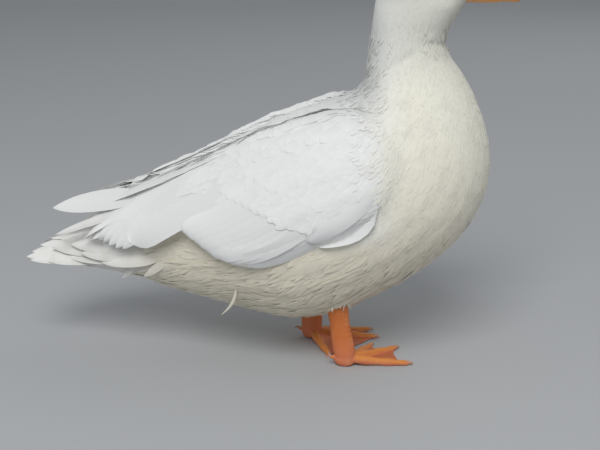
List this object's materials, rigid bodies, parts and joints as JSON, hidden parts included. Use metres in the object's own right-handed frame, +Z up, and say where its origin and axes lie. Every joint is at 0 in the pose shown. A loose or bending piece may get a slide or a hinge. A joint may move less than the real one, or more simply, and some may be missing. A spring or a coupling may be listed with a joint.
{
  "type": "white domestic duck",
  "caption": "Still life-size small white domestic duck standing on both webbed feet, with folded wings, pointed tail, short neck and flat orange bill.",
  "frame": {"origin": "middle of the base of the whole bird, on the ground it stands on", "axes": "+Z up, +X towards the bill, +Y towards the bird's left side"},
  "size_m": [0.3462, 0.1504, 0.299],
  "materials": {
    "plumage": "soft cream-white contour feathers over flesh",
    "wing_feathers": "smooth cool-white wing coverts and flight feathers",
    "quills": "stiff pointed white flight and tail feathers",
    "bill": "orange horn with a soft satin skin, paler at the nail",
    "leg_skin": "bright orange scaled skin, pinkish at the joints",
    "claw": "pale horn",
    "eye": "wet dark grey-blue iris with a black pupil"
  },
  "bodies": {
    "root": {"trunk": "plumage", "neck": "plumage", "head": "plumage", "bill_upper": "bill", "bill_lower": "bill", "eye_right": "eye", "eye_left": "eye", "wing_right": "wing_feathers", "wing_left": "wing_feathers", "wing_quills_right": "quills", "wing_quills_left": "quills", "tail": "quills", "shank_right": "leg_skin", "shank_left": "leg_skin", "foot_right": "leg_skin", "foot_left": "leg_skin", "claw_right_outer": "claw", "claw_right_middle": "claw", "claw_right_inner": "claw", "claw_right_hind": "claw", "claw_left_outer": "claw", "claw_left_middle": "claw", "claw_left_inner": "claw", "claw_left_hind": "claw"}
  },
  "joints": []
}
